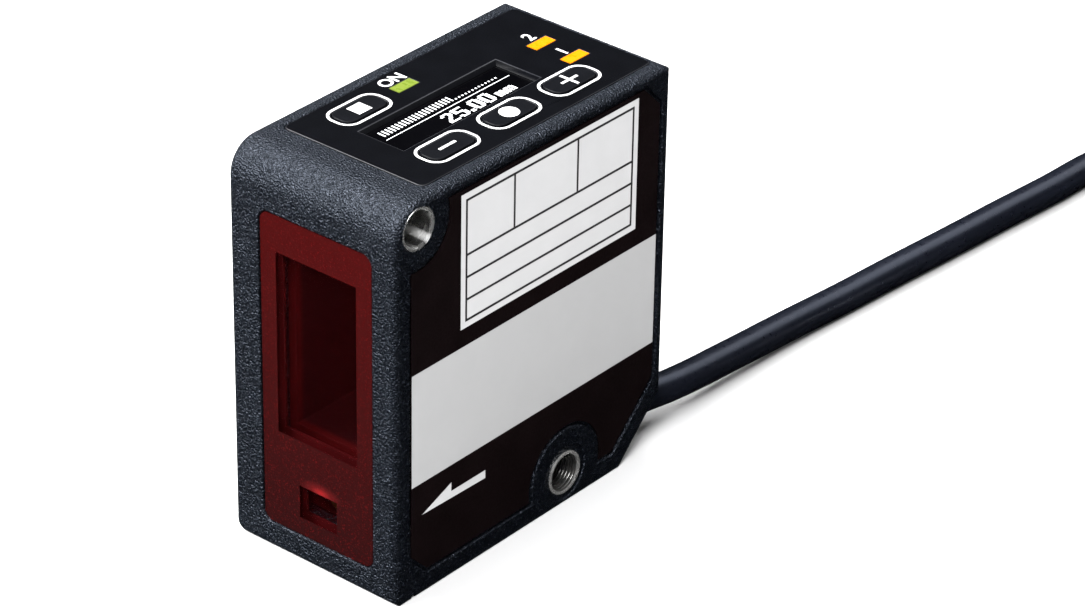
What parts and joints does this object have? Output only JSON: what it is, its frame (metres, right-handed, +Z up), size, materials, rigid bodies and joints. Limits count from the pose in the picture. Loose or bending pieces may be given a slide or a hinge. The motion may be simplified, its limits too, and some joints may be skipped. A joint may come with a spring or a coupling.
{
  "type": "laser displacement sensor",
  "caption": "Compact laser displacement sensor: dark box housing with a red front window, top display and push keys, side mounting holes and a short cable with a round plug.",
  "frame": {"origin": "centre of the housing's base, on the surface that it stands on", "axes": "+Z up through the control panel, -Y out of the front window along the laser beam, +X out of the labelled side"},
  "size_m": [0.0599, 0.1523, 0.0501],
  "materials": {
    "housing_paint": "fine textured matt",
    "label_film": "printed satin film",
    "seal_rubber": "matt",
    "screw_steel": "turned",
    "sleeve_steel": "bright turned",
    "red_window": "dark red filter glass",
    "mask_black": "matt",
    "panel_black": "fine satin",
    "key_black": "satin",
    "display_glass": "polished",
    "light_green": "translucent",
    "light_yellow": "translucent",
    "led_resin": "clear",
    "switch_metal": "plain",
    "circuit_board": "solder resist",
    "chip_black": "moulded",
    "optics_black": "matt black",
    "lens_glass": "coated",
    "barrel_brass": "turned",
    "sensor_chip": "glass lid",
    "cable_jacket": "satin",
    "wire_jacket": "plain",
    "header_white": "moulded",
    "plug_black": "moulded",
    "plug_nickel": "nickel plated",
    "contact_gold": "gold plated"
  },
  "bodies": {
    "sensor": {"housing": "housing_paint", "side_cover": "housing_paint", "cover_seal": "seal_rubber", "cover_screws": "screw_steel", "side_label": "label_film", "front_window": "red_window", "aperture_mask": "mask_black", "control_panel": "panel_black", "display_module": "display_glass", "power_light": "light_green", "output_lights": "light_yellow", "indicator_leds": "led_resin", "key_switches": "switch_metal", "control_board": "circuit_board", "main_board": "circuit_board", "board_chips": "chip_black", "board_header": "chip_black", "optics_frame": "optics_black", "optics_screws": "screw_steel", "receiving_lens": "lens_glass", "image_sensor": "sensor_chip", "sensor_board": "circuit_board", "laser_barrel": "barrel_brass", "laser_diode": "screw_steel", "collimator_lens": "lens_glass", "laser_board": "circuit_board", "mounting_sleeve": "sleeve_steel", "threaded_bush": "sleeve_steel", "cable_bush": "seal_rubber", "lead_wires": "wire_jacket", "wire_header": "header_white", "cable": "cable_jacket", "plug_body": "plug_black", "plug_carrier": "plug_black", "plug_pins": "contact_gold"},
    "stop_key": {"key_stop": "key_black"},
    "minus_key": {"key_minus": "key_black"},
    "set_key": {"key_set": "key_black"},
    "plus_key": {"key_plus": "key_black"},
    "plug_ring": {"plug_screw": "plug_nickel"}
  },
  "joints": [
    {"name": "stop_press", "type": "slide", "parent": "sensor", "child": "stop_key", "axis": [0, 0, -1], "range_m": [0, 0.0003], "stiffness_N_per_m": 4000},
    {"name": "minus_press", "type": "slide", "parent": "sensor", "child": "minus_key", "axis": [0, 0, -1], "range_m": [0, 0.0003], "stiffness_N_per_m": 4000},
    {"name": "set_press", "type": "slide", "parent": "sensor", "child": "set_key", "axis": [0, 0, -1], "range_m": [0, 0.0003], "stiffness_N_per_m": 4000},
    {"name": "plus_press", "type": "slide", "parent": "sensor", "child": "plus_key", "axis": [0, 0, -1], "range_m": [0, 0.0003], "stiffness_N_per_m": 4000},
    {"name": "plug_turn", "type": "hinge", "parent": "sensor", "child": "plug_ring", "pos_m": [0.0426, 0.083, 0.005], "axis": [0, -1, 0], "continuous": true}
  ]
}
